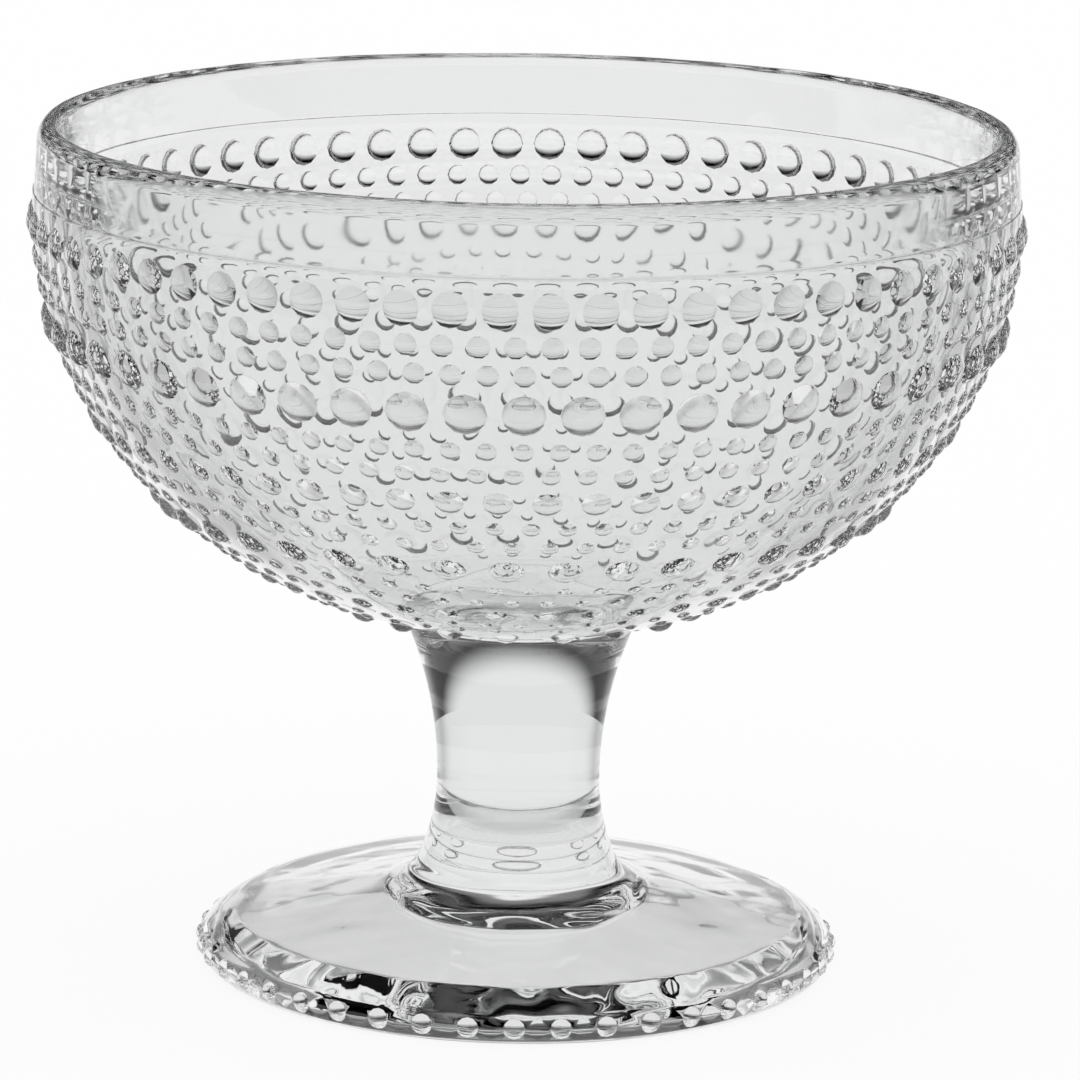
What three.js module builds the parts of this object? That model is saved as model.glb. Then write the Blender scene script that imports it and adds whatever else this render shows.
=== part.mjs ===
// Footed dessert glass in clear pressed glass: a beaded bowl, a waisted solid stem and a round foot with
// a beaded edge. The three bodies meet on flat faces, where they are joined hot.
// Millimetres, +Z up, origin on the glass's axis in the plane that it stands on.

import * as THREE from "three";

// Heights that stack up to the whole glass
const footHeight = 12; // table to the top of the foot's boss
const stemHeight = 28; // foot to bowl
const bodyHeight = 50.2; // stem to the shoulder, where the bowl's round body turns straight
const wallHeight = 0.8; // shoulder to the ledge under the plain band
const bandHeight = 7.8; // ledge to the top of the lip

// Bowl
const bodyRadius = 56.6; // outside of the beaded wall, without the beads
const bodyFullness = 2.06; // 2 would make the round body's side an ellipse
const bandRadius = 56.4; // outside of the plain band at the ledge
const lipRadius = 56.1; // outside of the plain band under the lip
const lipThickness = 2.3;
const lipRound = 1.5; // width of the lip's rounded outside
const lipFall = 2.2; // height of the lip's rounded outside
const shoulderThickness = 4.2; // of the wall at the shoulder
const floorThickness = 2.5; // of the floor over the stem
const padRadius = 13.9; // where the beaded wall ends in the flared pad that stands on the stem
const padHeight = 1.4; // of the pad's flared side

// Beads: diameter, height over the wall and spare room to the next in the row. A crowned bead is a
// six-sided dome, and another one a four-sided dome.
const smallBead = { diameter: 3.0, height: 0.63, spare: 0.95, isCrowned: false };
const mediumBead = { diameter: 4.5, height: 1.03, spare: 0.85, isCrowned: true };
const largeBead = { diameter: 5.8, height: 1.3, spare: 0.5, isCrowned: true };
const footBead = { diameter: 2.4, height: 0.7, spare: 2.8, isCrowned: true };

// Rows of beads on the bowl, in the order that repeats from the ledge down
const rowOrder = [mediumBead, smallBead, smallBead, largeBead, smallBead, smallBead];
const beadTaper = 0.5; // share of their size that beads lose from the ledge down to the pad
const rowGap = 0.25; // bare wall between two rows of full size
const plainTop = 1.3; // bare wall between the ledge and the first row
const plainBase = 1.2; // bare wall between the last row and the pad

// Stem
const stemTopRadius = 13.17;
const waistRadius = 9.5;
const waistRise = 9.8; // foot to the stem's narrowest place
const stemBaseRadius = 11.6;

// Foot
const footRadius = 37.1; // outside of the edge, without the beads
const edgeHeight = 2.1; // where the edge is widest
const creaseRadius = 32.7; // where the cone of the top meets the rounded edge
const creaseHeight = 5.9;
const bossRadius = 16; // where the cone of the top turns up to the stem
const bossHeight = 8.9;
const landOuterRadius = 35.2; // flat ring that the glass rests on
const landInnerRadius = 34;
const hollowRadius = 32.4; // where the hollow under the foot starts to follow the cone
const hollowTopRadius = 15; // flat middle of the hollow
const footThickness = 4.5; // of the foot between its cone and the hollow

// Facets
const roundFacets = 48;
const arcSteps = 6;
const wallSteps = 48; // of the line that the rows of beads are laid along

const fullTurn = 2 * Math.PI;
const bowlBase = footHeight + stemHeight;
const shoulder = bowlBase + bodyHeight;
const ledge = shoulder + wallHeight;
const overallHeight = ledge + bandHeight;

// A closed loop of points round the axis. Each entry of cell is one point of a cell that repeats count
// times: its turn from the cell's middle, as a share of the cell's width, its radius and its height.
function ring(count, cell) {
  const points = [];
  for (let i = 0; i < count; i++) {
    for (const { turn, radius, height } of cell) {
      points.push({ angle: (i + turn) * fullTurn / count, radius, height });
    }
  }
  return points;
}

const plainRing = (radius, height) => ring(roundFacets, [{ turn: 0, radius, height }]);
const plainRings = (points) => points.map((p) => plainRing(p.x, p.y));
const pole = (height) => [{ angle: 0, radius: 0, height }];

// The triangles between two loops that may hold different counts of points, each loop taken in the order
// of its angles. first and nextFirst are the loops' first places in the list of all points.
function strip(loop, nextLoop, first, nextFirst) {
  const lead = loop.length > 1 ? loop[0].angle : nextLoop[0].angle;
  const apart = ({ angle }) => Math.abs(Math.atan2(Math.sin(angle - lead), Math.cos(angle - lead)));
  const start = nextLoop.reduce((best, p, j) => (apart(p) < apart(nextLoop[best]) ? j : best), 0);
  const shift = Math.round((nextLoop[start].angle - lead) / fullTurn) * fullTurn;
  const angleAt = (list, i) => list[i % list.length].angle + fullTurn * Math.floor(i / list.length);
  const steps = loop.length > 1 ? loop.length : 0;
  const nextSteps = nextLoop.length > 1 ? nextLoop.length : 0;
  const here = (i) => first + i % loop.length;
  const there = (j) => nextFirst + (start + j) % nextLoop.length;
  const triangles = [];
  let i = 0;
  let j = 0;
  while (i < steps || j < nextSteps) {
    const isBehind = angleAt(loop, i + 1) <= angleAt(nextLoop, start + j + 1) - shift;
    if (i < steps && (j >= nextSteps || isBehind)) {
      triangles.push(here(i), there(j), here(i + 1));
      i += 1;
    } else {
      triangles.push(here(i), there(j), there(j + 1));
      j += 1;
    }
  }
  return triangles;
}

// The closed skin over a list of loops, from a pole on top of the piece out and down to a pole under it
function skin(loops) {
  const position = [];
  const index = [];
  const firsts = [];
  for (const loop of loops) {
    firsts.push(position.length / 3);
    for (const { angle, radius, height } of loop) {
      position.push(radius * Math.cos(angle), radius * Math.sin(angle), height);
    }
  }
  for (let k = 0; k + 1 < loops.length; k++) {
    index.push(...strip(loops[k], loops[k + 1], firsts[k], firsts[k + 1]));
  }
  const geometry = new THREE.BufferGeometry();
  geometry.setAttribute("position", new THREE.Float32BufferAttribute(position, 3));
  geometry.setIndex(index);
  return geometry;
}

// A place on a wall drawn downwards as radius and height, a distance along it, raised off it by a lift
function wallPlace(wall, distance, lift = 0) {
  const share = distance / wall.getLength();
  const place = wall.getPointAt(share);
  const along = wall.getTangentAt(share);
  return { radius: place.x - along.y * lift, height: place.y + along.x * lift };
}

// One row of beads round a wall, with its middle a distance along the wall. size is the share of its full
// size that each bead has.
function beadRow(wall, bead, middle, isStaggered, size = 1) {
  const half = bead.diameter * size / 2;
  const girth = fullTurn * wallPlace(wall, middle).radius;
  const count = Math.floor(girth / (bead.diameter + bead.spare));
  const phase = isStaggered ? 0.5 : 0;
  const corner = bead.isCrowned ? Math.PI / 6 : 0;
  const side = half * Math.sin(corner) * count / girth;
  const reach = half * Math.cos(corner);
  const spread = (place, share) => (bead.isCrowned
    ? [{ ...place, turn: phase - share }, { ...place, turn: phase + share }]
    : [{ ...place, turn: phase }]);
  const crown = wallPlace(wall, middle, bead.height * size);
  const valley = { ...wallPlace(wall, middle), turn: phase + 0.5 };
  return [
    ring(count, spread(wallPlace(wall, middle - reach), side)),
    ring(count, [...spread(crown, side * 0.7), valley]),
    ring(count, spread(wallPlace(wall, middle + reach), side)),
  ];
}

// Bowl: the inside from its floor up, the rounded lip, the plain band, the beaded wall and the pad
function bowlGeometry() {
  const innerRadius = bodyRadius - shoulderThickness;
  const innerDepth = shoulder - bowlBase - floorThickness;
  const inside = new THREE.EllipseCurve(0, shoulder, innerRadius, innerDepth, -Math.PI / 2, 0);
  const lipCrest = lipRadius - lipRound;
  const lipInset = lipThickness - lipRound;
  const lip = new THREE.Path()
    .absellipse(lipCrest, overallHeight - lipInset, lipInset, lipInset, Math.PI, Math.PI / 2, true)
    .absellipse(lipCrest, overallHeight - lipFall, lipRound, lipFall, Math.PI / 2, 0, true);

  const padTurn = Math.acos((padRadius / bodyRadius) ** (bodyFullness / 2));
  const bodyDepth = (bodyHeight - padHeight) / Math.sin(padTurn) ** (2 / bodyFullness);
  const wall = new THREE.Path()
    .moveTo(bodyRadius, ledge)
    .lineTo(bodyRadius, shoulder);
  for (let k = 1; k <= wallSteps; k++) {
    const turn = padTurn * k / wallSteps;
    const radius = bodyRadius * Math.cos(turn) ** (2 / bodyFullness);
    wall.lineTo(radius, shoulder - bodyDepth * Math.sin(turn) ** (2 / bodyFullness));
  }
  const rows = [];
  let from = plainTop;
  for (let k = 0; ; k++) {
    const bead = rowOrder[k % rowOrder.length];
    const to = from + bead.diameter;
    if (to + plainBase > wall.getLength()) break;
    const middle = (from + to) / 2;
    const size = 1 - beadTaper * middle / wall.getLength();
    rows.push(...beadRow(wall, bead, middle, k % 2 === 1, size));
    from = to + rowGap;
  }

  return skin([
    pole(bowlBase + floorThickness),
    ...plainRings(inside.getPoints(arcSteps + 2).slice(1)),
    ...plainRings(lip.getPoints(1)),
    plainRing(bandRadius, ledge),
    plainRing(bodyRadius, ledge),
    ...rows,
    plainRing(padRadius, bowlBase + padHeight),
    plainRing(stemTopRadius, bowlBase),
    pole(bowlBase),
  ]);
}

// The radius of the arc that leaves the waist straight and meets an end of the stem
const flareRadius = (rise, spread) => (rise * rise + spread * spread) / (2 * spread);
const lowFlare = flareRadius(waistRise, stemBaseRadius - waistRadius);
const highFlare = flareRadius(stemHeight - waistRise, stemTopRadius - waistRadius);
const lowTurn = Math.asin(waistRise / lowFlare);
const highTurn = Math.asin((stemHeight - waistRise) / highFlare);

// Stem: a solid waisted rod with a flat face at each end
function stemGeometry() {
  const waist = footHeight + waistRise;
  const side = new THREE.Path()
    .absarc(waistRadius + highFlare, waist, highFlare, Math.PI - highTurn, Math.PI)
    .absarc(waistRadius + lowFlare, waist, lowFlare, Math.PI, Math.PI + lowTurn);
  const inner = side.getPoints(arcSteps / 2).slice(1, -1);
  return skin([
    pole(bowlBase),
    plainRing(stemTopRadius, bowlBase),
    ...plainRings(inner),
    plainRing(stemBaseRadius, footHeight),
    pole(footHeight),
  ]);
}

// Foot: the boss under the stem, the cone of the top, the rounded edge with its beads, the flat ring that
// it rests on and the hollow inside that, which follows the cone and is flat under the stem
function footGeometry() {
  const slope = (bossHeight - creaseHeight) / (creaseRadius - bossRadius);
  const hollowHeight = (radius) => bossHeight + slope * (bossRadius - radius) - footThickness;
  const flare = Math.tan(lowTurn);
  const cornerHeight = (bossHeight + slope * (bossRadius - stemBaseRadius - flare * footHeight))
    / (1 - slope * flare);
  const cornerRadius = stemBaseRadius + flare * (footHeight - cornerHeight);
  const boss = new THREE.Path()
    .moveTo(stemBaseRadius, footHeight)
    .quadraticCurveTo(cornerRadius, cornerHeight, bossRadius, bossHeight);
  const shoulderEdge = new THREE.Path()
    .moveTo(creaseRadius, creaseHeight)
    .quadraticCurveTo(footRadius, (creaseHeight + edgeHeight) / 2, footRadius, edgeHeight);
  const edge = shoulderEdge.clone()
    .quadraticCurveTo(footRadius, 0, landOuterRadius, 0);
  const hollow = new THREE.Path()
    .moveTo(landInnerRadius, 0)
    .quadraticCurveTo(
      landInnerRadius, hollowHeight(landInnerRadius), hollowRadius, hollowHeight(hollowRadius))
    .lineTo(hollowTopRadius, hollowHeight(hollowTopRadius));
  const middle = shoulderEdge.getLength();
  const upperEdge = wallPlace(edge, (middle - footBead.diameter / 2) / 2);
  return skin([
    pole(footHeight),
    ...plainRings(boss.getPoints(arcSteps)),
    plainRing(creaseRadius, creaseHeight),
    plainRing(upperEdge.radius, upperEdge.height),
    ...beadRow(edge, footBead, middle, false),
    plainRing(landOuterRadius, 0),
    ...plainRings(hollow.getPoints(arcSteps / 2)),
    pole(hollowHeight(hollowTopRadius)),
  ]);
}

const clearGlass = () => new THREE.MeshStandardMaterial({
  color: 0xe9edec, roughness: 0.05, metalness: 0, transparent: true, opacity: 0.35,
});

const glass = new THREE.Group();
const pieces = { bowl: bowlGeometry, stem: stemGeometry, foot: footGeometry };
for (const [name, make] of Object.entries(pieces)) {
  const mesh = new THREE.Mesh(make(), clearGlass());
  mesh.name = name;
  glass.add(mesh);
}

export default glass;
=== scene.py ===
# Footed dessert glass in clear pressed glass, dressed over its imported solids
import math

import bpy
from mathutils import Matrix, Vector, noise


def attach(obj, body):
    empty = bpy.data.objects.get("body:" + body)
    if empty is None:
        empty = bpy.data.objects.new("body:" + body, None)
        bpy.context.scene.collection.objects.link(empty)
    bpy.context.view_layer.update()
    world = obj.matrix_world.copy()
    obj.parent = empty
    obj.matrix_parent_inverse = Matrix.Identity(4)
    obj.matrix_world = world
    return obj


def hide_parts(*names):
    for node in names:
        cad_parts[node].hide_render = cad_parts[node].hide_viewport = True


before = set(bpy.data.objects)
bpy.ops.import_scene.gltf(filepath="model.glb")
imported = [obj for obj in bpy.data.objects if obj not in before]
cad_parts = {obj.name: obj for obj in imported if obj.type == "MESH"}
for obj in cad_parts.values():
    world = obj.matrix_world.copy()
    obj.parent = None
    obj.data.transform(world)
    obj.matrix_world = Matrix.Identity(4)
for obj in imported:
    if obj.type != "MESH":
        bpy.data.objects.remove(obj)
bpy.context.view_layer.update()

mm = 0.001
fullTurn = 2 * math.pi
# a radius that counts as the axis, and a difference of angles that counts as none
onAxis = 1e-9
sameTurn = 1e-6


def newShell():
    return {"points": [], "normals": [], "faces": [], "slots": []}


# A zero normal leaves the shading of its point to the mesh
def addPoints(shell, points, normals=None):
    first = len(shell["points"])
    shell["points"].extend(points)
    shell["normals"].extend(normals or [(0, 0, 0)] * len(points))
    return list(range(first, len(shell["points"])))


def turnOf(point):
    return math.atan2(point[1], point[0]) % fullTurn


# Faces between two loops of points that may hold different counts, both in the order of their angles
def stitch(shell, loop, nextLoop, slot=0):
    points = shell["points"]
    if len(loop) == 1 or len(nextLoop) == 1:
        ring = nextLoop if len(loop) == 1 else loop
        for k in range(len(ring)):
            a, b = ring[k], ring[(k + 1) % len(ring)]
            shell["faces"].append((loop[0], a, b) if len(loop) == 1 else (a, nextLoop[0], b))
            shell["slots"].append(slot)
        return
    turns = [turnOf(points[i]) for i in loop]
    nextTurns = [turnOf(points[i]) for i in nextLoop]
    gap = lambda a: abs((a - turns[0] + math.pi) % fullTurn - math.pi)
    start = min(range(len(nextLoop)), key=lambda j: gap(nextTurns[j]))

    # angles that keep growing round the loop
    def unrolled(values, first, near):
        lead = near + (values[first] - near + math.pi) % fullTurn - math.pi
        return [lead + (values[(first + k) % len(values)] - values[first]) % fullTurn
                for k in range(len(values))] + [lead + fullTurn]

    here = unrolled(turns, 0, turns[0])
    there = unrolled(nextTurns, start, turns[0])
    i = j = 0
    n, m = len(loop), len(nextLoop)
    while i < n or j < m:
        a, b = loop[i % n], nextLoop[(start + j) % m]
        if i < n and j < m and abs(here[i] - there[j]) + abs(here[i + 1] - there[j + 1]) < sameTurn:
            shell["faces"].append((a, b, nextLoop[(start + j + 1) % m], loop[(i + 1) % n]))
            i, j = i + 1, j + 1
        elif i < n and (j >= m or here[i + 1] <= there[j + 1]):
            shell["faces"].append((a, b, loop[(i + 1) % n]))
            i += 1
        else:
            shell["faces"].append((a, b, nextLoop[(start + j + 1) % m]))
            j += 1
        shell["slots"].append(slot)


# Loops of a profile of radius and height, turned round the axis. lift raises a point off the plain form,
# and the normals are then those of the raised one.
def turnedLoops(shell, profile, sides, lift=None):
    rings, leans = [], []
    for k, (radius, height) in enumerate(profile):
        before, after = profile[max(k - 1, 0)], profile[min(k + 1, len(profile) - 1)]
        out, up = Vector((before[1] - after[1], after[0] - before[0])).normalized()
        ring, lean = [], []
        for j in range(sides if radius > onAxis else 1):
            c, s = math.cos(fullTurn * j / sides), math.sin(fullTurn * j / sides)
            ring.append(Vector((radius * c, radius * s, height)))
            upright = Vector((0, 0, math.copysign(1, up)))
            lean.append(Vector((out * c, out * s, up)) if radius > onAxis else upright)
        rings.append(ring)
        leans.append(lean)
    if lift:
        rings = [[p + n * lift(p) for p, n in zip(ring, lean)] for ring, lean in zip(rings, leans)]
        for k, ring in enumerate(rings):
            before, after = rings[max(k - 1, 0)], rings[min(k + 1, len(rings) - 1)]
            if len(ring) == sides:
                leans[k] = []
                for j in range(sides):
                    down = after[j % len(after)] - before[j % len(before)]
                    across = ring[(j + 1) % sides] - ring[j - 1]
                    leans[k].append(down.cross(across).normalized())
    return [addPoints(shell, [tuple(p) for p in ring], [tuple(n) for n in lean])
            for ring, lean in zip(rings, leans)]


def stitchAll(shell, loops, slot=0):
    for upper, lower in zip(loops, loops[1:]):
        stitch(shell, upper, lower, slot)


def pieceFrom(shell, name, materials):
    mesh = bpy.data.meshes.new(name)
    mesh.from_pydata(shell["points"], [], shell["faces"])
    mesh.polygons.foreach_set("material_index", shell["slots"])
    mesh.polygons.foreach_set("use_smooth", [True] * len(mesh.polygons))
    for material in materials:
        mesh.materials.append(material)
    mesh.update()
    mesh.normals_split_custom_set_from_vertices(shell["normals"])
    piece = bpy.data.objects.new(name, mesh)
    bpy.context.collection.objects.link(piece)
    return piece


def arc(centre, radii, start, end, steps):
    points = []
    for k in range(steps + 1):
        turn = start + (end - start) * k / steps
        points.append((centre[0] + radii[0] * math.cos(turn), centre[1] + radii[1] * math.sin(turn)))
    return points


# A soft turn from one line to another that meet in the corner
def bend(start, corner, end, steps):
    points = []
    for k in range(steps + 1):
        t = k / steps
        points.append(tuple((1 - t) ** 2 * s + 2 * t * (1 - t) * c + t * t * e
                            for s, c, e in zip(start, corner, end)))
    return points


# Steps along a straight line, without its start
def between(start, end, steps):
    return [tuple(a + (b - a) * k / steps for a, b in zip(start, end)) for k in range(1, steps + 1)]


def lengthsOf(profile):
    lengths = [0.0]
    for a, b in zip(profile, profile[1:]):
        lengths.append(lengths[-1] + math.dist(a, b))
    return lengths


def placeOn(profile, distance):
    lengths = lengthsOf(profile)
    for k in range(len(profile) - 1):
        if lengths[k + 1] >= distance:
            t = (distance - lengths[k]) / (lengths[k + 1] - lengths[k])
            return tuple(a + (b - a) * t for a, b in zip(profile[k], profile[k + 1]))
    return profile[-1]


def curveFrom(name, profile):
    curve = bpy.data.curves.new(name, "CURVE")
    curve.dimensions = "3D"
    spline = curve.splines.new("POLY")
    spline.points.add(len(profile) - 1)
    for point, (radius, height) in zip(spline.points, profile):
        point.co = (radius, 0, height, 1)
    guide = bpy.data.objects.new(name, curve)
    bpy.context.collection.objects.link(guide)
    return guide


# Each glass has its tint, and its roughness where the waves are low and where they are high
glassLook = {
    "clear": {"tint": (0.89, 0.895, 0.895, 1), "smooth": 0.01, "worn": 0.03},
    "deep": {"tint": (0.8, 0.81, 0.81, 1), "smooth": 0.0, "worn": 0.03},
    "rim": {"tint": (0.89, 0.895, 0.895, 1), "smooth": 0.03, "worn": 0.07},
    "ior": 1.5,
    "waveScale": 160, "waveDetail": 1, "wearFrom": 0.5, "wearTo": 0.8,
    "rippleStrength": 0.02, "rippleHeight": 0.5,
}


def clearGlass(name, look):
    material = bpy.data.materials.new(name)
    material.use_nodes = True
    nodes, links = material.node_tree.nodes, material.node_tree.links
    shader = nodes["Principled BSDF"]
    shader.inputs["Base Color"].default_value = look["tint"]
    shader.inputs["Transmission Weight"].default_value = 1
    shader.inputs["IOR"].default_value = glassLook["ior"]
    place = nodes.new("ShaderNodeTexCoord")
    waves = nodes.new("ShaderNodeTexNoise")
    waves.inputs["Scale"].default_value = glassLook["waveScale"]
    waves.inputs["Detail"].default_value = glassLook["waveDetail"]
    links.new(place.outputs["Object"], waves.inputs["Vector"])
    wear = nodes.new("ShaderNodeMapRange")
    wear.inputs["From Min"].default_value = glassLook["wearFrom"]
    wear.inputs["From Max"].default_value = glassLook["wearTo"]
    wear.inputs["To Min"].default_value = look["smooth"]
    wear.inputs["To Max"].default_value = look["worn"]
    links.new(waves.outputs["Fac"], wear.inputs["Value"])
    links.new(wear.outputs["Result"], shader.inputs["Roughness"])
    ripple = nodes.new("ShaderNodeBump")
    ripple.inputs["Strength"].default_value = glassLook["rippleStrength"]
    ripple.inputs["Distance"].default_value = glassLook["rippleHeight"] * mm
    links.new(waves.outputs["Fac"], ripple.inputs["Height"])
    links.new(ripple.outputs["Normal"], shader.inputs["Normal"])
    return material


# Faces inside the hot joints, which nothing shows of in one run of glass
def fusedFace():
    material = bpy.data.materials.new("fusedGlassFace")
    material.use_nodes = True
    shader = material.node_tree.nodes["Principled BSDF"]
    shader.inputs["Base Color"].default_value = glassLook["clear"]["tint"]
    shader.inputs["Alpha"].default_value = 0
    return material


glass = clearGlass("clearPressedGlass", glassLook["clear"])
deepGlass = clearGlass("deepPressedGlass", glassLook["deep"])
rimGlass = clearGlass("rimPressedGlass", glassLook["rim"])
fused = fusedFace()
print("glass made")


# diameter sets a row's height and, with spare, how close its beads stand. The dome has sides and rings, the
# last of them on the wall, and its cell has steps across and down.
beadKinds = {
    "small": {
        "diameter": 3.0, "spare": 0.95, "dome": 2.7, "height": 0.52,
        "sides": 10, "rings": (0.62, 1.0, 1.03), "across": 2, "down": 2,
    },
    "medium": {
        "diameter": 4.5, "spare": 0.85, "dome": 4.1, "height": 0.82,
        "sides": 12, "rings": (0.5, 0.84, 1.0, 1.03), "across": 3, "down": 2,
    },
    "large": {
        "diameter": 5.8, "spare": 0.5, "dome": 5.4, "height": 1.3,
        "sides": 12, "rings": (0.5, 0.84, 1.0, 1.03), "across": 3, "down": 2,
    },
    "foot": {
        "diameter": 2.4, "spare": 2.8, "dome": 2.4, "height": 0.55,
        "sides": 12, "rings": (0.5, 0.85, 1.0, 1.05), "across": 4, "down": 2,
    },
}
# points of neighbouring cells that lie closer than this are one
weldGap = 0.01


# One flat cell of a row: a dome in a rectangle, x along the row, y up the wall, z off it. The normals of
# the dome's ball go with its points as their lean.
def beadCell(name, bead, size, width, depth):
    shell = newShell()
    half, height = bead["dome"] * size / 2, bead["height"] * size
    ball = (half ** 2 + height ** 2) / (2 * height)
    loops = [addPoints(shell, [(0, 0, height * mm)], [(0, 0, 1)])]
    for share in bead["rings"]:
        reach = half * share
        rise = math.sqrt(ball ** 2 - reach ** 2) if share <= 1 else ball - height
        slant = reach / ball if share <= 1 else 0
        ring, leans = [], []
        for k in range(bead["sides"]):
            turn = fullTurn * k / bead["sides"]
            c, s = math.cos(turn), math.sin(turn)
            ring.append((reach * c * mm, reach * s * mm, (rise - ball + height) * mm))
            leans.append((slant * c, slant * s, math.sqrt(1 - slant ** 2)))
        loops.append(addPoints(shell, ring, leans))
    edge = []
    for k in range(bead["across"]):
        t = k / bead["across"] - 0.5
        edge += [(t * width, -depth / 2, 0), (-t * width, depth / 2, 0)]
    for k in range(bead["down"]):
        t = k / bead["down"] - 0.5
        edge += [(width / 2, t * depth, 0), (-width / 2, -t * depth, 0)]
    loops.append(addPoints(shell, sorted(edge, key=turnOf), [(0, 0, 1)] * len(edge)))
    stitchAll(shell, loops)
    cell = pieceFrom(shell, name, [])
    lean = cell.data.attributes.new("lean", "FLOAT_VECTOR", "POINT")
    lean.data.foreach_set("vector", [value for normal in shell["normals"] for value in normal])
    return cell


def addSocket(tree, name, kind, default=None):
    socket = tree.interface.new_socket(name, in_out="INPUT", socket_type=kind)
    if default is not None:
        socket.default_value = default
    return socket.identifier


# Lays copies of a flat cell side by side and wraps the strip round the axis along a wall curve
def beadRowTree():
    tree = bpy.data.node_groups.new("beadRow", "GeometryNodeTree")
    tree.interface.new_socket("Geometry", in_out="INPUT", socket_type="NodeSocketGeometry")
    tree.interface.new_socket("Geometry", in_out="OUTPUT", socket_type="NodeSocketGeometry")
    sockets = {
        "count": addSocket(tree, "Count", "NodeSocketInt", 60),
        "girthRadius": addSocket(tree, "Girth Radius", "NodeSocketFloat", 0.05),
        "middle": addSocket(tree, "Middle", "NodeSocketFloat", 0.01),
        "stagger": addSocket(tree, "Stagger", "NodeSocketFloat", 0.0),
        "wall": addSocket(tree, "Wall", "NodeSocketObject"),
        "glass": addSocket(tree, "Glass", "NodeSocketMaterial"),
    }
    nodes, links = tree.nodes, tree.links
    given = nodes.new("NodeGroupInput")
    result = nodes.new("NodeGroupOutput")

    def feed(socket, value):
        if isinstance(value, (int, float)):
            socket.default_value = value
        else:
            links.new(value, socket)

    def maths(operation, a, b=0.0):
        node = nodes.new("ShaderNodeMath")
        node.operation = operation
        feed(node.inputs[0], a)
        feed(node.inputs[1], b)
        return node.outputs[0]

    girth = maths("MULTIPLY", given.outputs["Girth Radius"], fullTurn)
    pitch = maths("DIVIDE", girth, given.outputs["Count"])
    step = nodes.new("ShaderNodeCombineXYZ")
    feed(step.inputs["X"], pitch)
    row = nodes.new("GeometryNodeMeshLine")
    feed(row.inputs["Count"], given.outputs["Count"])
    feed(row.inputs["Offset"], step.outputs[0])
    copies = nodes.new("GeometryNodeInstanceOnPoints")
    feed(copies.inputs["Points"], row.outputs["Mesh"])
    feed(copies.inputs["Instance"], given.outputs["Geometry"])
    flat = nodes.new("GeometryNodeRealizeInstances")
    feed(flat.inputs[0], copies.outputs[0])

    where = nodes.new("GeometryNodeInputPosition")
    parts = nodes.new("ShaderNodeSeparateXYZ")
    feed(parts.inputs[0], where.outputs[0])
    shift = maths("MULTIPLY", pitch, given.outputs["Stagger"])
    turn = maths("DIVIDE", maths("ADD", parts.outputs["X"], shift), given.outputs["Girth Radius"])
    wall = nodes.new("GeometryNodeObjectInfo")
    feed(wall.inputs["Object"], given.outputs["Wall"])
    spot = nodes.new("GeometryNodeSampleCurve")
    spot.mode = "LENGTH"
    feed(spot.inputs["Curves"], wall.outputs["Geometry"])
    feed(spot.inputs["Length"], maths("SUBTRACT", given.outputs["Middle"], parts.outputs["Y"]))
    on = nodes.new("ShaderNodeSeparateXYZ")
    feed(on.inputs[0], spot.outputs["Position"])
    along = nodes.new("ShaderNodeSeparateXYZ")
    feed(along.inputs[0], spot.outputs["Tangent"])
    c, s = maths("COSINE", turn), maths("SINE", turn)

    # a vector of the flat strip as one across, out and up beside the wall
    def leaned(x, y, z):
        outwards, upwards = along.outputs["X"], along.outputs["Z"]
        back = maths("MULTIPLY", outwards, -1.0)
        out = maths("SUBTRACT", maths("MULTIPLY", y, back), maths("MULTIPLY", upwards, z))
        up = maths("SUBTRACT", maths("MULTIPLY", outwards, z), maths("MULTIPLY", upwards, y))
        return x, out, up

    def turned(across, out, up):
        vector = nodes.new("ShaderNodeCombineXYZ")
        x = maths("SUBTRACT", maths("MULTIPLY", out, c), maths("MULTIPLY", across, s))
        y = maths("ADD", maths("MULTIPLY", out, s), maths("MULTIPLY", across, c))
        feed(vector.inputs["X"], x)
        feed(vector.inputs["Y"], y)
        feed(vector.inputs["Z"], up)
        return vector.outputs[0]

    _, liftOut, liftUp = leaned(0.0, 0.0, parts.outputs["Z"])
    target = turned(0.0, maths("ADD", on.outputs["X"], liftOut), maths("ADD", on.outputs["Z"], liftUp))
    lean = nodes.new("GeometryNodeInputNamedAttribute")
    lean.data_type = "FLOAT_VECTOR"
    lean.inputs["Name"].default_value = "lean"
    leans = nodes.new("ShaderNodeSeparateXYZ")
    feed(leans.inputs[0], lean.outputs["Attribute"])
    shaded = nodes.new("GeometryNodeStoreNamedAttribute")
    shaded.data_type = "FLOAT_VECTOR"
    shaded.domain = "POINT"
    shaded.inputs["Name"].default_value = "skinNormal"
    feed(shaded.inputs["Geometry"], flat.outputs[0])
    feed(shaded.inputs["Value"], turned(*leaned(*leans.outputs)))
    wrapped = nodes.new("GeometryNodeSetPosition")
    feed(wrapped.inputs["Geometry"], shaded.outputs[0])
    feed(wrapped.inputs["Position"], target)
    welded = nodes.new("GeometryNodeMergeByDistance")
    feed(welded.inputs["Geometry"], wrapped.outputs[0])
    feed(welded.inputs["Distance"], weldGap * mm)
    whole = nodes.new("GeometryNodeRealizeInstances")
    feed(whole.inputs[0], welded.outputs[0])
    dressed = nodes.new("GeometryNodeSetMaterial")
    feed(dressed.inputs["Geometry"], whole.outputs[0])
    feed(dressed.inputs["Material"], given.outputs["Glass"])
    links.new(dressed.outputs[0], result.inputs[0])
    return tree, sockets


rowTree, rowSockets = beadRowTree()


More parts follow.
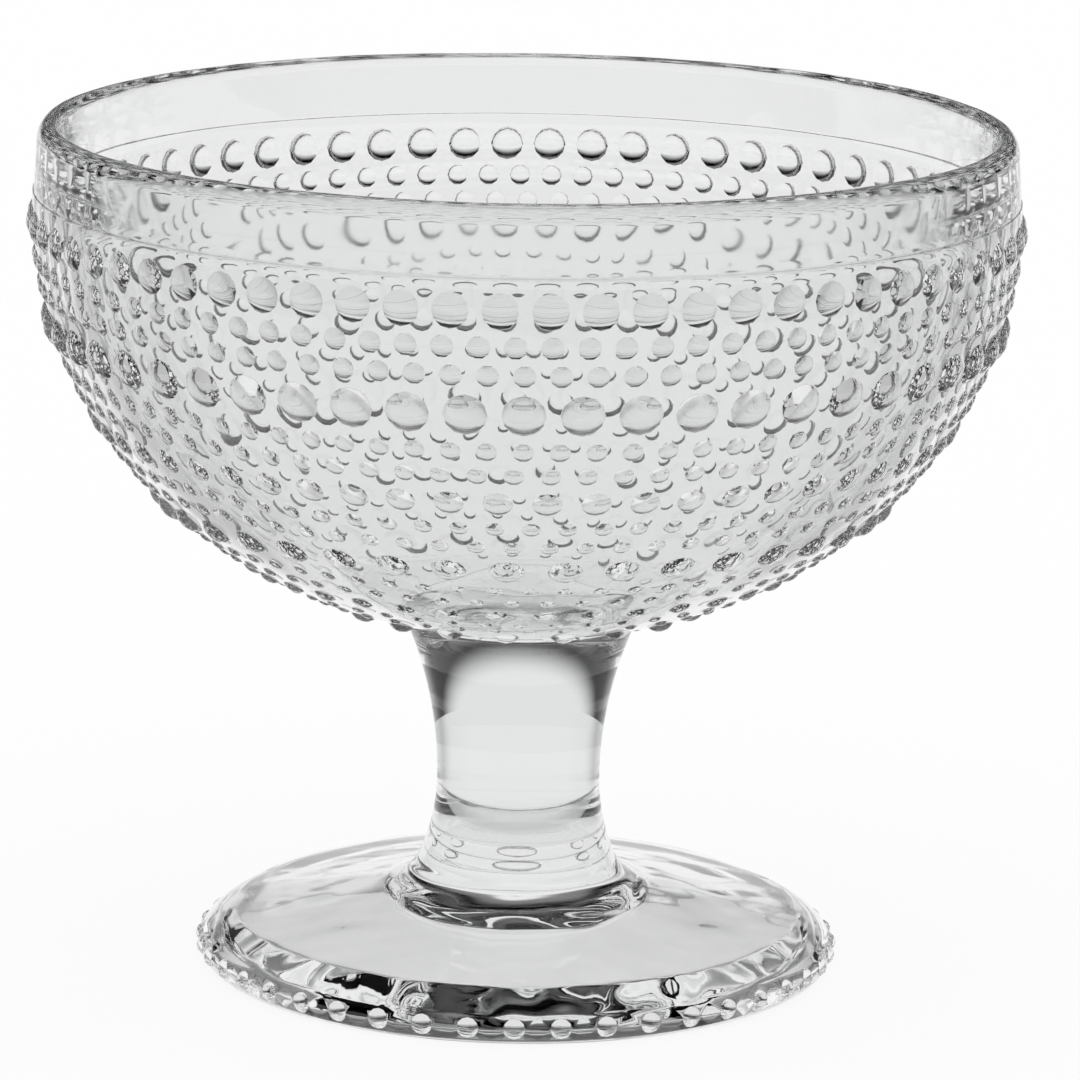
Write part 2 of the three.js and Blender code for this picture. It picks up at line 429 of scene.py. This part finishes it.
# A row of beads on a wall profile, added to a shell. Gives its upper and lower open edges and its count.
def addBeadRow(shell, bead, size, profile, guide, middle, depth, isStaggered):
    girthRadius = placeOn(profile, middle)[0]
    girth = fullTurn * girthRadius
    count = math.floor(girth / ((bead["diameter"] + bead["spare"]) * mm))
    cell = beadCell("beadCell", bead, size, girth / count, depth)
    modifier = cell.modifiers.new("beadRow", "NODES")
    modifier.node_group = rowTree
    values = {"count": count, "girthRadius": girthRadius, "middle": middle,
              "stagger": 0.5 if isStaggered else 0.0, "wall": guide, "glass": glass}
    for key, value in values.items():
        modifier[rowSockets[key]] = value
    graph = bpy.context.evaluated_depsgraph_get()
    mesh = bpy.data.meshes.new_from_object(cell.evaluated_get(graph), depsgraph=graph)
    cell.modifiers.clear()
    normals = [tuple(item.vector.normalized()) for item in mesh.attributes["skinNormal"].data]
    places = addPoints(shell, [tuple(v.co) for v in mesh.vertices], normals)
    uses = {}
    for polygon in mesh.polygons:
        shell["faces"].append(tuple(places[v] for v in polygon.vertices))
        shell["slots"].append(0)
        for key in polygon.edge_keys:
            uses[key] = uses.get(key, 0) + 1
    rimPoints = {v for key, count in uses.items() if count == 1 for v in key}
    middleHeight = sum(mesh.vertices[v].co.z for v in rimPoints) / len(rimPoints)
    edges = []
    for isUpper in (True, False):
        side = [v for v in rimPoints if (mesh.vertices[v].co.z > middleHeight) == isUpper]
        side.sort(key=lambda v: turnOf(mesh.vertices[v].co))
        edges.append([places[v] for v in side])
    bpy.data.objects.remove(cell)
    bpy.data.meshes.remove(mesh)
    return edges, count


bowlSize = {
    "bodyRadius": 56.6, "fullness": 2.06, "bandRadius": 56.4, "wall": 4.2, "floor": 42.5,
    "lipRadius": 56.1, "lip": 2.3, "lipRound": 1.5, "lipFall": 2.2,
    "base": 40.0, "shoulder": 90.2, "ledge": 91.0, "ledgeRound": 0.35, "top": 98.8,
    "padRadius": 13.9, "padHeight": 1.4, "padRound": 0.5,
    "rowOrder": ("medium", "small", "small", "large", "small", "small"),
    "taper": 0.5, "rowGap": 0.25, "plainTop": 1.3, "plainBase": 1.2, "cellMargin": 0.15,
    "waveHeight": 0.06, "waveLength": 8.0,
    "sides": 256, "innerSteps": 56, "wallSteps": 240,
    "straightSteps": 6, "lipInSteps": 7, "lipOutSteps": 10, "ledgeSteps": 5,
    "padSteps": 4, "padRoundSteps": 6,
}


# Slight waves of the inside and of the plain band
def bowlWave(point):
    return bowlSize["waveHeight"] * mm * noise.noise(point / (bowlSize["waveLength"] * mm))


stemSize = {
    "base": 12.0, "top": 40.0, "waist": 21.8,
    "topRadius": 13.17, "waistRadius": 9.5, "baseRadius": 11.6,
    "sides": 160, "steps": 28,
}


def flare(rise, spread):
    return (rise ** 2 + spread ** 2) / (2 * spread)


# The stem's flare over its waist, which the foot of the bowl goes on with
def stemSide(height):
    s = stemSize
    radius = flare(s["top"] - s["waist"], s["topRadius"] - s["waistRadius"])
    return s["waistRadius"] + radius - math.sqrt(radius ** 2 - (height - s["waist"]) ** 2), height


def inMetres(profile):
    return [(radius * mm, height * mm) for radius, height in profile]


def makeBowl():
    s = bowlSize
    shell = newShell()
    inner = arc((0, s["shoulder"]), (s["bodyRadius"] - s["wall"], s["shoulder"] - s["floor"]),
                -math.pi / 2, 0, s["innerSteps"])
    inner[0] = (0, s["floor"])
    crest, inset = s["lipRadius"] - s["lipRound"], s["lip"] - s["lipRound"]
    lip = arc((crest, s["top"] - inset), (inset, inset), math.pi, math.pi / 2, s["lipInSteps"])
    lip += arc((crest, s["top"] - s["lipFall"]), (s["lipRound"], s["lipFall"]), math.pi / 2, 0,
               s["lipOutSteps"])[1:]
    straight = between(inner[-1], lip[0], s["straightSteps"])
    step = ((s["bandRadius"] + s["bodyRadius"]) / 2, s["ledge"])
    bandEnd = (s["bandRadius"], s["ledge"] + s["ledgeRound"])
    bodyStart = (s["bodyRadius"], s["ledge"] - s["ledgeRound"])
    band = between(lip[-1], bandEnd, s["straightSteps"])
    band += bend(bandEnd, (s["bandRadius"], s["ledge"]), step, s["ledgeSteps"])[1:]
    band += bend(step, (s["bodyRadius"], s["ledge"]), bodyStart, s["ledgeSteps"])[1:]
    plain = inner + straight + lip + band
    loops = turnedLoops(shell, inMetres(plain), s["sides"], bowlWave)
    stitchAll(shell, loops[:len(inner)])
    stitchAll(shell, loops[len(inner) - 1:], 2)

    power = 2 / s["fullness"]
    padTurn = math.acos((s["padRadius"] / s["bodyRadius"]) ** (1 / power))
    bodyDepth = (s["shoulder"] - s["base"] - s["padHeight"]) / math.sin(padTurn) ** power
    wall = [(s["bodyRadius"], s["ledge"])]
    for k in range(s["wallSteps"] + 1):
        turn = padTurn * k / s["wallSteps"]
        across, down = math.cos(turn) ** power, math.sin(turn) ** power
        wall.append((s["bodyRadius"] * across, s["shoulder"] - bodyDepth * down))
    profile = inMetres(wall)
    guide = curveFrom("bowlWall", profile)
    reach = lengthsOf(profile)[-1]
    start = s["plainTop"]
    total = row = 0
    while True:
        bead = beadKinds[s["rowOrder"][row % len(s["rowOrder"])]]
        end = start + bead["diameter"]
        if (end + s["plainBase"]) * mm > reach:
            break
        middle = (start + end) / 2 * mm
        size = 1 - s["taper"] * middle / reach
        depth = (bead["diameter"] + s["cellMargin"]) * mm
        edges, count = addBeadRow(shell, bead, size, profile, guide, middle, depth, row % 2 == 1)
        stitch(shell, loops[-1], edges[0])
        loops += edges
        total += count
        row += 1
        start = end + s["rowGap"]
    bpy.data.objects.remove(guide)

    last = reach / mm
    steps = s["padSteps"]
    pad = [placeOn(wall, start + (last - start) * k / steps) for k in range(1, steps)]
    pad += bend(placeOn(wall, last - s["padRound"]), wall[-1], stemSide(wall[-1][1] - s["padRound"]),
                s["padRoundSteps"])
    pad += [stemSide(s["base"] + (pad[-1][1] - s["base"]) * k / steps) for k in range(steps - 1, -1, -1)]
    padLoops = turnedLoops(shell, inMetres(pad), s["sides"])
    stitch(shell, loops[-1], padLoops[0])
    stitchAll(shell, padLoops)
    stitch(shell, padLoops[-1], addPoints(shell, [(0, 0, s["base"] * mm)]), 1)
    piece = pieceFrom(shell, "beadedBowl", [glass, fused, rimGlass])
    print("bowl:", row, "rows,", total, "beads,", len(piece.data.polygons), "faces")
    return piece


bowl = makeBowl()
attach(bowl, "root")
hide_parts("bowl")


def makeStem():
    s = stemSize
    shell = newShell()
    high = flare(s["top"] - s["waist"], s["topRadius"] - s["waistRadius"])
    low = flare(s["waist"] - s["base"], s["baseRadius"] - s["waistRadius"])
    highTurn = math.asin((s["top"] - s["waist"]) / high)
    lowTurn = math.asin((s["waist"] - s["base"]) / low)
    side = arc((s["waistRadius"] + high, s["waist"]), (high, high),
               math.pi - highTurn, math.pi, s["steps"])
    side += arc((s["waistRadius"] + low, s["waist"]), (low, low),
                math.pi, math.pi + lowTurn, s["steps"])[1:]
    side[0] = (s["topRadius"], s["top"])
    side[-1] = (s["baseRadius"], s["base"])
    loops = turnedLoops(shell, inMetres(side), s["sides"])
    stitch(shell, addPoints(shell, [(0, 0, s["top"] * mm)]), loops[0], 1)
    stitchAll(shell, loops)
    stitch(shell, loops[-1], addPoints(shell, [(0, 0, s["base"] * mm)]), 1)
    piece = pieceFrom(shell, "waistedStem", [deepGlass, fused])
    print("stem:", len(piece.data.polygons), "faces")
    return piece


stem = makeStem()
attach(stem, "root")
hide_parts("stem")


footSize = {
    "radius": 37.1, "edge": 2.1, "creaseRadius": 32.7, "crease": 5.9,
    "bossRadius": 16.0, "boss": 8.9, "top": 12.0, "stemRadius": 11.6, "flareTurn": 24.2,
    "landOuter": 35.2, "landInner": 34.0, "hollowRadius": 32.4, "hollowTop": 15.0, "thickness": 4.5,
    "cellMargin": 0.3,
    # height and length of the waves on top, where they start and end, and the widths in which they die out
    "waves": ((0.2, 9.0), (0.07, 4.0)), "waveFrom": 12.0, "waveTo": 37.0, "waveFade": (3.0, 1.0),
    # the same for the waves under the stem
    "underWave": (0.35, 7.0), "underTo": 15.0, "underFade": 2.0,
    "sides": 240, "bossSteps": 16, "coneSteps": 24, "edgeSteps": 40, "undercutSteps": 30, "aboveSteps": 10,
    "belowSteps": 5, "landSteps": 8, "hollowSteps": 12, "middleSteps": 28,
}


# Small waves of the pressed glass, which die out at the stem and at the beads
def footWave(point):
    s = footSize
    radius = math.hypot(point.x, point.y) / mm
    inFade, outFade = s["waveFade"]
    share = max(0.0, min(1.0, (radius - s["waveFrom"]) / inFade, (s["waveTo"] - radius) / outFade))
    return share * mm * sum(height * noise.noise(point / (length * mm)) for height, length in s["waves"])


# Waves in the middle of the underside, which show through the stem
def underWave(point):
    s = footSize
    radius = math.hypot(point.x, point.y) / mm
    share = max(0.0, min(1.0, (s["underTo"] - radius) / s["underFade"]))
    height, length = s["underWave"]
    return share * height * mm * noise.noise(point / (length * mm))


def makeFoot():
    s = footSize
    shell = newShell()
    slope = (s["boss"] - s["crease"]) / (s["creaseRadius"] - s["bossRadius"])
    lean = math.tan(math.radians(s["flareTurn"]))
    rise = slope * (s["bossRadius"] - s["stemRadius"] - lean * s["top"])
    cornerHeight = (s["boss"] + rise) / (1 - slope * lean)
    corner = (s["stemRadius"] + lean * (s["top"] - cornerHeight), cornerHeight)
    crease, edgeStart = (s["creaseRadius"], s["crease"]), (s["radius"], s["edge"])
    boss = bend((s["stemRadius"], s["top"]), corner, (s["bossRadius"], s["boss"]), s["bossSteps"])
    cone = between(boss[-1], crease, s["coneSteps"])
    edge = bend(crease, (s["radius"], (s["crease"] + s["edge"]) / 2), edgeStart, s["edgeSteps"])
    middle = lengthsOf(edge)[-1]
    edge += bend(edgeStart, (s["radius"], 0), (s["landOuter"], 0), s["undercutSteps"])[1:]
    bead = beadKinds["foot"]
    depth = bead["diameter"] + s["cellMargin"]
    rowTop, rowBase, reach = middle - depth / 2, middle + depth / 2, lengthsOf(edge)[-1]
    above = [placeOn(edge, rowTop * k / s["aboveSteps"]) for k in range(1, s["aboveSteps"])]
    below = [placeOn(edge, rowBase + (reach - rowBase) * k / s["belowSteps"])
             for k in range(1, s["belowSteps"] + 1)]

    under = lambda radius: s["boss"] + slope * (s["bossRadius"] - radius) - s["thickness"]
    hollow = bend((s["landInner"], 0), (s["landInner"], under(s["landInner"])),
                  (s["hollowRadius"], under(s["hollowRadius"])), s["landSteps"])
    hollow += between(hollow[-1], (s["hollowTop"], under(s["hollowTop"])), s["hollowSteps"])
    hollow += between(hollow[-1], (0, under(s["hollowTop"])), s["middleSteps"])

    loops = turnedLoops(shell, inMetres(boss + cone + above), s["sides"], footWave)
    stitch(shell, addPoints(shell, [(0, 0, s["top"] * mm)]), loops[0], 1)
    stitchAll(shell, loops)
    profile = inMetres(edge)
    guide = curveFrom("footEdge", profile)
    edges, count = addBeadRow(shell, bead, 1, profile, guide, middle * mm, depth * mm, False)
    bpy.data.objects.remove(guide)
    stitch(shell, loops[-1], edges[0])
    lower = turnedLoops(shell, inMetres(below + hollow), s["sides"], underWave)
    stitch(shell, edges[1], lower[0])
    stitchAll(shell, lower)
    piece = pieceFrom(shell, "beadedFoot", [glass, fused])
    print("foot:", count, "beads,", len(piece.data.polygons), "faces")
    return piece


foot = makeFoot()
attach(foot, "root")
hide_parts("foot")


studio = {
    "floorSize": 6.0, "floorColour": (0.95, 0.95, 0.95, 1), "floorRoughness": 0.9, "floorGlow": 0.9,
    # the world's even light on every surface that isn't clear
    "plainLight": 1.0,
    # the glass shows the floor dimmer at its sides, by this share, which grows over these distances
    "sideShade": 0.42, "sideFrom": (0.04, 0.07),
    # cosines of the turn from straight behind at which the sides start and end
    "sideBack": (0.8, 0.55), "sideFront": (-0.4, -0.05),
    # what the glass shows of the room and of the wall behind, by the sine of the height over the horizon
    "room": ((0.0, 0.0), (0.52, 0.0), (0.66, 0.1), (0.87, 0.08), (0.95, 0.0)),
    "wall": ((0.0, 0.0), (0.22, 0.0), (0.32, 0.27), (0.48, 0.2), (0.6, 0.0)), "wallEdge": (0.8, 0.92),
    # a white card behind the glass, bright in a half ellipse that fades from a share of its size on
    "cardPlace": 0.35, "cardHalf": 0.42, "cardTop": 0.132, "cardFade": 0.5, "cardGlow": 0.955,
    # the shortest distance from the axis at which a turn is told
    "leastReach": 0.001,
}


def addMath(tree, operation, a, b=0.0):
    node = tree.nodes.new("ShaderNodeMath")
    node.operation = operation
    for socket, value in zip(node.inputs, (a, b)):
        if isinstance(value, (int, float)):
            socket.default_value = value
        else:
            tree.links.new(value, socket)
    return node.outputs[0]


# 1 for the rays that come through the glass or off it
def glassRays(tree):
    rays = tree.nodes.new("ShaderNodeLightPath")
    return addMath(tree, "MAXIMUM", rays.outputs["Is Glossy Ray"], rays.outputs["Is Transmission Ray"])


# 1 for these and for the camera's own rays, and 0 for the rays that light a surface
def seenRays(tree):
    rays = tree.nodes.new("ShaderNodeLightPath")
    return addMath(tree, "MAXIMUM", rays.outputs["Is Camera Ray"], glassRays(tree))


# Grows softly from 0 to 1 as the value goes from start to end
def fade(tree, value, start, end):
    node = tree.nodes.new("ShaderNodeMapRange")
    node.interpolation_type = "SMOOTHSTEP"
    tree.links.new(value, node.inputs["Value"])
    node.inputs["From Min"].default_value, node.inputs["From Max"].default_value = start, end
    return node.outputs["Result"]


# Cosine of a place's turn from straight behind the glass, its distance from the axis, and its height
def splitTurn(tree, place):
    split = tree.nodes.new("ShaderNodeSeparateXYZ")
    tree.links.new(place, split.inputs[0])
    x, y, z = split.outputs
    squares = addMath(tree, "ADD", addMath(tree, "MULTIPLY", x, x), addMath(tree, "MULTIPLY", y, y))
    reach = addMath(tree, "SQRT", squares)
    return addMath(tree, "DIVIDE", y, addMath(tree, "MAXIMUM", reach, studio["leastReach"])), reach, z


# A brightness that follows the value along a few stops
def ramp(tree, value, stops):
    node = tree.nodes.new("ShaderNodeValToRGB")
    elements = node.color_ramp.elements
    while len(elements) < len(stops):
        elements.new(0.5)
    for element, (place, share) in zip(elements, stops):
        element.position = place
        element.color = (share, share, share, 1)
    tree.links.new(value, node.inputs["Fac"])
    return node.outputs["Color"]


def makeFloor():
    mesh = bpy.data.meshes.new("floor")
    half = studio["floorSize"] / 2
    corners = [(-half, -half, 0), (half, -half, 0), (half, half, 0), (-half, half, 0)]
    mesh.from_pydata(corners, [], [(0, 1, 2, 3)])
    floor = bpy.data.objects.new("floor", mesh)
    bpy.context.collection.objects.link(floor)
    paper = bpy.data.materials.new("whitePaper")
    paper.use_nodes = True
    tree = paper.node_tree
    shader = tree.nodes["Principled BSDF"]
    shader.inputs["Base Color"].default_value = studio["floorColour"]
    shader.inputs["Roughness"].default_value = studio["floorRoughness"]
    shader.inputs["Specular IOR Level"].default_value = 0
    place = tree.nodes.new("ShaderNodeTexCoord")
    facing, reach, _ = splitTurn(tree, place.outputs["Object"])
    sides = fade(tree, facing, *studio["sideBack"])
    sides = addMath(tree, "MULTIPLY", sides, fade(tree, facing, *studio["sideFront"]))
    sides = addMath(tree, "MULTIPLY", sides, fade(tree, reach, *studio["sideFrom"]))
    shade = addMath(tree, "MULTIPLY", sides, glassRays(tree))
    shade = addMath(tree, "MULTIPLY", shade, studio["sideShade"])
    glow = tree.nodes.new("ShaderNodeEmission")
    tree.links.new(addMath(tree, "SUBTRACT", 1.0, shade), glow.inputs["Strength"])
    mix = tree.nodes.new("ShaderNodeMixShader")
    tree.links.new(addMath(tree, "MULTIPLY", seenRays(tree), studio["floorGlow"]), mix.inputs["Fac"])
    tree.links.new(shader.outputs[0], mix.inputs[1])
    tree.links.new(glow.outputs[0], mix.inputs[2])
    tree.links.new(mix.outputs[0], tree.nodes["Material Output"].inputs["Surface"])
    mesh.materials.append(paper)


def makeCard():
    s = studio
    mesh = bpy.data.meshes.new("card")
    half, top, y = s["cardHalf"], s["cardTop"], s["cardPlace"]
    mesh.from_pydata([(-half, y, 0), (half, y, 0), (half, y, top), (-half, y, top)], [], [(0, 1, 2, 3)])
    card = bpy.data.objects.new("card", mesh)
    bpy.context.collection.objects.link(card)
    white = bpy.data.materials.new("whiteCard")
    white.use_nodes = True
    tree = white.node_tree
    place = tree.nodes.new("ShaderNodeTexCoord")
    split = tree.nodes.new("ShaderNodeSeparateXYZ")
    tree.links.new(place.outputs["Object"], split.inputs[0])
    across = addMath(tree, "DIVIDE", split.outputs["X"], half)
    up = addMath(tree, "DIVIDE", split.outputs["Z"], top)
    across, up = addMath(tree, "MULTIPLY", across, across), addMath(tree, "MULTIPLY", up, up)
    out = addMath(tree, "SQRT", addMath(tree, "ADD", across, up))
    glow = tree.nodes.new("ShaderNodeEmission")
    clear = tree.nodes.new("ShaderNodeBsdfTransparent")
    mix = tree.nodes.new("ShaderNodeMixShader")
    glow.inputs["Strength"].default_value = s["cardGlow"]
    share = addMath(tree, "MULTIPLY", fade(tree, out, 1.0, s["cardFade"]), glassRays(tree))
    tree.links.new(share, mix.inputs["Fac"])
    tree.links.new(clear.outputs[0], mix.inputs[1])
    tree.links.new(glow.outputs[0], mix.inputs[2])
    tree.links.new(mix.outputs[0], tree.nodes["Material Output"].inputs["Surface"])
    mesh.materials.append(white)


def makeWorld():
    world = bpy.data.worlds.new("studio")
    bpy.context.scene.world = world
    world.use_nodes = True
    tree = world.node_tree
    place = tree.nodes.new("ShaderNodeTexCoord")
    facing, _, height = splitTurn(tree, place.outputs["Generated"])
    isBehind = fade(tree, facing, *studio["wallEdge"])
    isElsewhere = addMath(tree, "SUBTRACT", 1.0, isBehind)
    room = addMath(tree, "MULTIPLY", ramp(tree, height, studio["room"]), isElsewhere)
    wall = addMath(tree, "MULTIPLY", ramp(tree, height, studio["wall"]), isBehind)
    mix = tree.nodes.new("ShaderNodeMix")
    tree.links.new(seenRays(tree), mix.inputs["Factor"])
    mix.inputs["A"].default_value = studio["plainLight"]
    tree.links.new(addMath(tree, "ADD", room, wall), mix.inputs["B"])
    tree.links.new(mix.outputs["Result"], tree.nodes["Background"].inputs["Strength"])
    tree.nodes["Background"].inputs["Color"].default_value = (1, 1, 1, 1)


makeFloor()
makeCard()
makeWorld()
print("studio made")


view = {
    "distance": 713.1, "height": 211.6, "pitch": 12.775, "roll": 0.92,
    "focalPixels": 6303.9, "imageSize": 1080, "sensor": 36.0, "shiftPixels": 18.0,
    # how far it sees, in metres
    "sight": 50,
    # how often light may pass through the glass, and how often be thrown back inside it
    "passes": 64, "reflections": 12,
}


def makeCamera():
    data = bpy.data.cameras.new("camera")
    data.sensor_fit = "HORIZONTAL"
    data.sensor_width = view["sensor"]
    data.lens = view["sensor"] * view["focalPixels"] / view["imageSize"]
    data.shift_x = view["shiftPixels"] / view["imageSize"]
    data.clip_end = view["sight"]
    camera = bpy.data.objects.new("camera", data)
    bpy.context.collection.objects.link(camera)
    camera.location = (0, -view["distance"] * mm, view["height"] * mm)
    camera.rotation_mode = "XYZ"
    camera.rotation_euler = (math.radians(90 - view["pitch"]), 0, 0)
    camera.rotation_euler.rotate_axis("Z", math.radians(view["roll"]))
    bpy.context.scene.camera = camera


makeCamera()
scene = bpy.context.scene
scene.view_settings.view_transform = "Standard"
scene.cycles.max_bounces = view["passes"]
scene.cycles.transmission_bounces = view["passes"]
scene.cycles.glossy_bounces = view["reflections"]
print("camera made")
